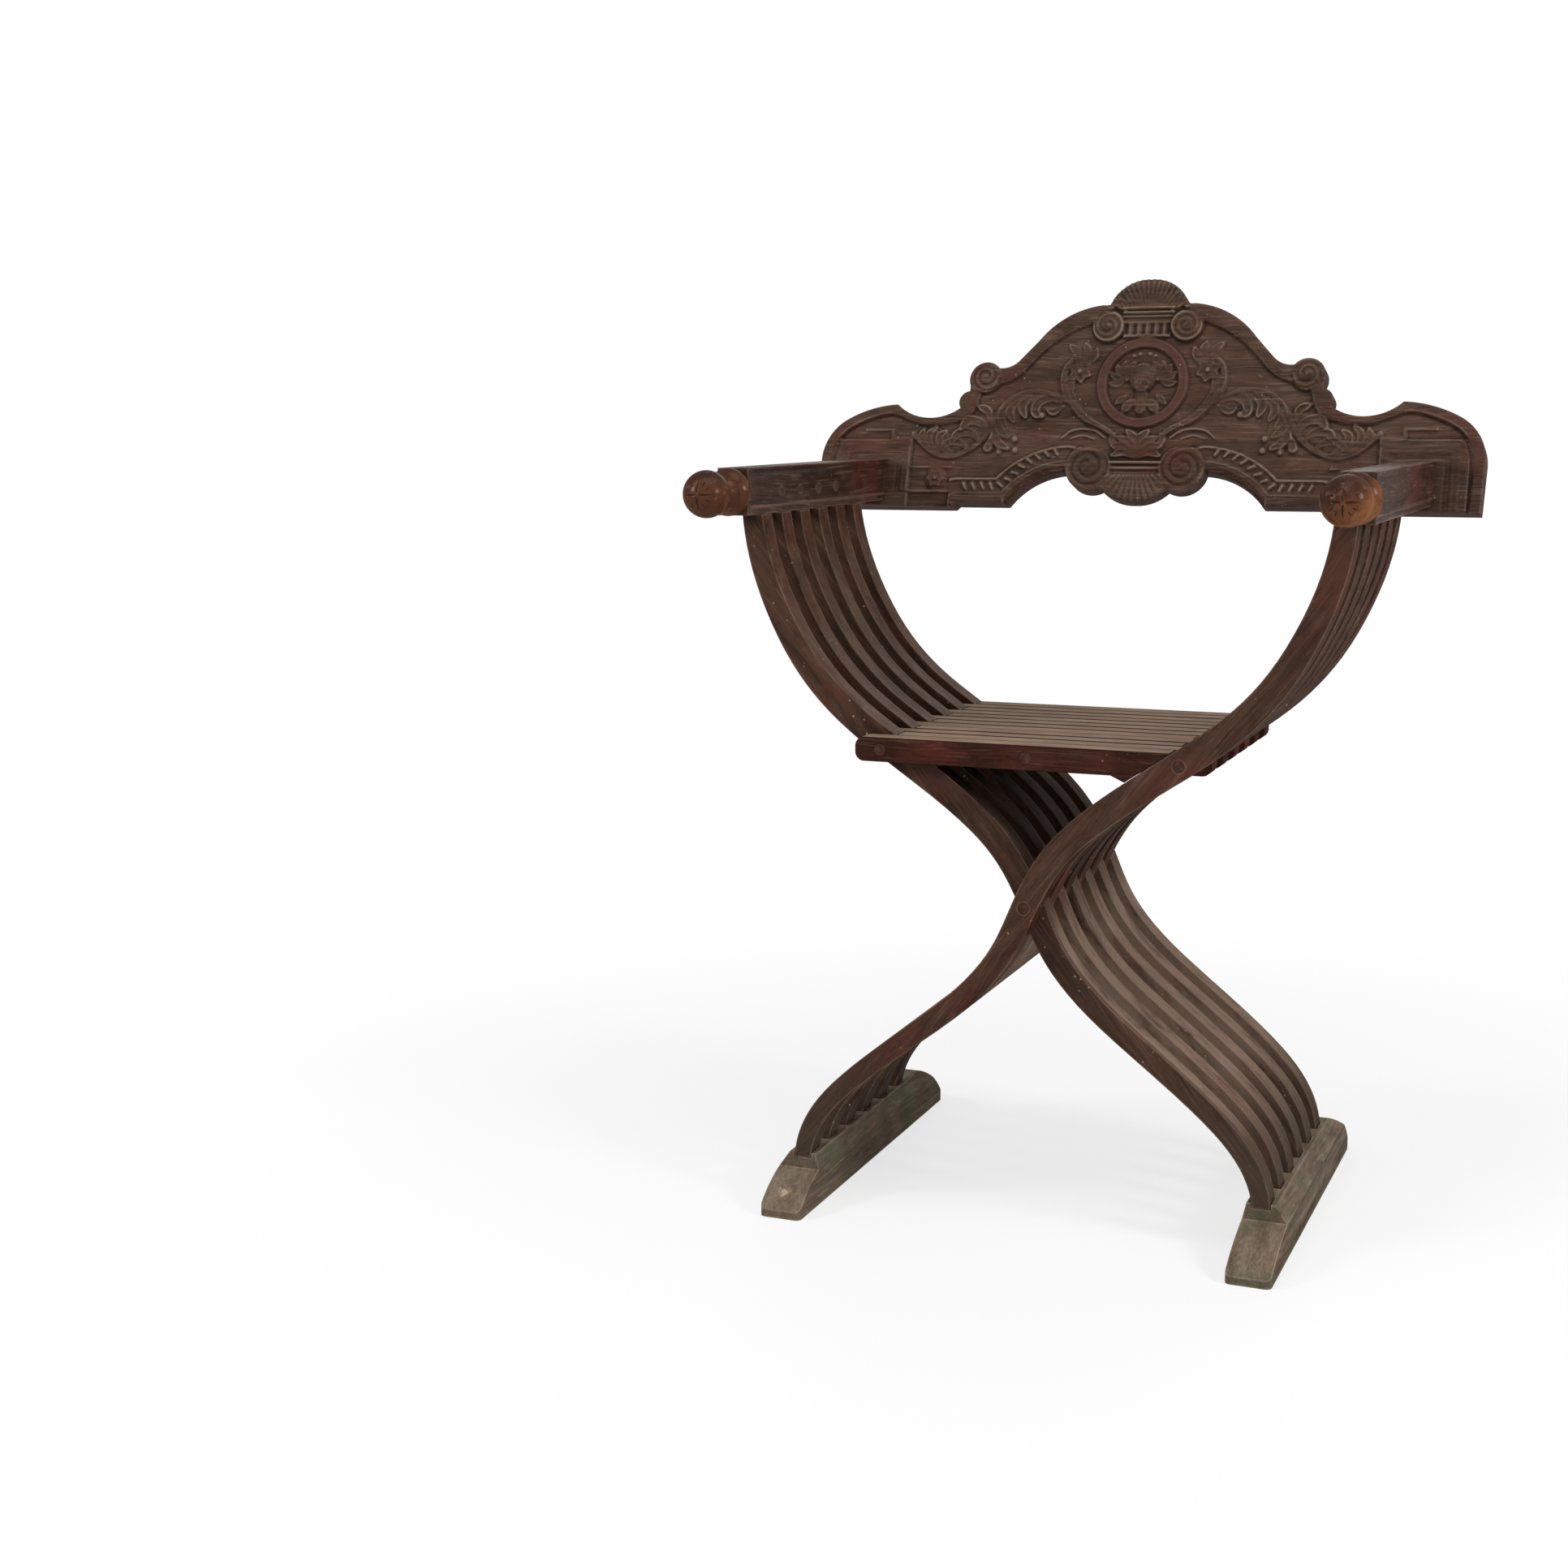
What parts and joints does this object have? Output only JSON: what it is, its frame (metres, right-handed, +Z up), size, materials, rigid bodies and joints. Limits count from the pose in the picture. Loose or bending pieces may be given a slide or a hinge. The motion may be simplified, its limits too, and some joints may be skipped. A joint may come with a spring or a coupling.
{
  "type": "savonarola chair",
  "caption": "Folding X-frame armchair of interleaved curved walnut staves with a slatted seat, turned arm knobs, sled feet and a carved lift-off crest board.",
  "frame": {"origin": "on the floor under the middle of the whole chair, the middle of its bounding box", "axes": "+Z up, front of the chair towards -Y, +X to the right as seen from the front"},
  "size_m": [0.743, 0.5664, 0.9506],
  "materials": {
    "stave_walnut": "old waxed walnut, dark brown with a dusty sheen",
    "seat_walnut": "worn grey-brown walnut",
    "arm_walnut": "waxed dark walnut, polished by hands",
    "knob_walnut": "polished orange-brown walnut",
    "foot_walnut": "scuffed greyish walnut",
    "crest_walnut": "carved walnut, darker in the hollows",
    "plug_wood": "dark end grain"
  },
  "bodies": {
    "right_frame": {"right_stave_1": "stave_walnut", "right_stave_2": "stave_walnut", "right_stave_3": "stave_walnut", "right_stave_4": "stave_walnut", "right_stave_5": "stave_walnut", "right_stave_6": "stave_walnut", "right_arm": "arm_walnut", "right_knob": "knob_walnut", "left_foot": "foot_walnut", "main_pivot_rod": "plug_wood", "right_seat_rod": "plug_wood", "right_key": "plug_wood"},
    "left_frame": {"left_stave_1": "stave_walnut", "left_stave_2": "stave_walnut", "left_stave_3": "stave_walnut", "left_stave_4": "stave_walnut", "left_stave_5": "stave_walnut", "left_stave_6": "stave_walnut", "left_arm": "arm_walnut", "left_knob": "knob_walnut", "right_foot": "foot_walnut", "left_seat_rod": "plug_wood"},
    "left_slats": {"left_slat_1": "seat_walnut", "left_slat_2": "seat_walnut", "left_slat_3": "seat_walnut", "left_slat_4": "seat_walnut", "left_slat_5": "seat_walnut", "left_slat_6": "seat_walnut", "centre_rod_left": "plug_wood"},
    "right_slats": {"right_slat_1": "seat_walnut", "right_slat_2": "seat_walnut", "right_slat_3": "seat_walnut", "right_slat_4": "seat_walnut", "right_slat_5": "seat_walnut", "right_slat_6": "seat_walnut", "centre_rod_right": "plug_wood"},
    "crest": {"crest_rail": "crest_walnut", "left_key": "plug_wood"}
  },
  "joints": [
    {"name": "fold", "type": "hinge", "parent": "right_frame", "child": "left_frame", "pos_m": [0, -0.04799, 0.331], "axis": [0, 1, 0], "range_deg": [0, 60]},
    {"name": "left_seat_fold", "type": "hinge", "parent": "left_frame", "child": "left_slats", "pos_m": [-0.149, -0.04799, 0.479], "axis": [0, -1, 0], "range_deg": [0, 98.6]},
    {"name": "right_seat_fold", "type": "hinge", "parent": "right_frame", "child": "right_slats", "pos_m": [0.149, -0.04799, 0.479], "axis": [0, 1, 0], "range_deg": [0, 98.6]},
    {"name": "crest_lift", "type": "slide", "parent": "right_frame", "child": "crest", "axis": [0, 0.2924, 0.9563], "range_m": [0, 0.06]}
  ],
  "couplings": [
    {"joint": "left_seat_fold", "follows": "fold", "ratio": 1.6387},
    {"joint": "right_seat_fold", "follows": "fold", "ratio": 1.6387}
  ]
}
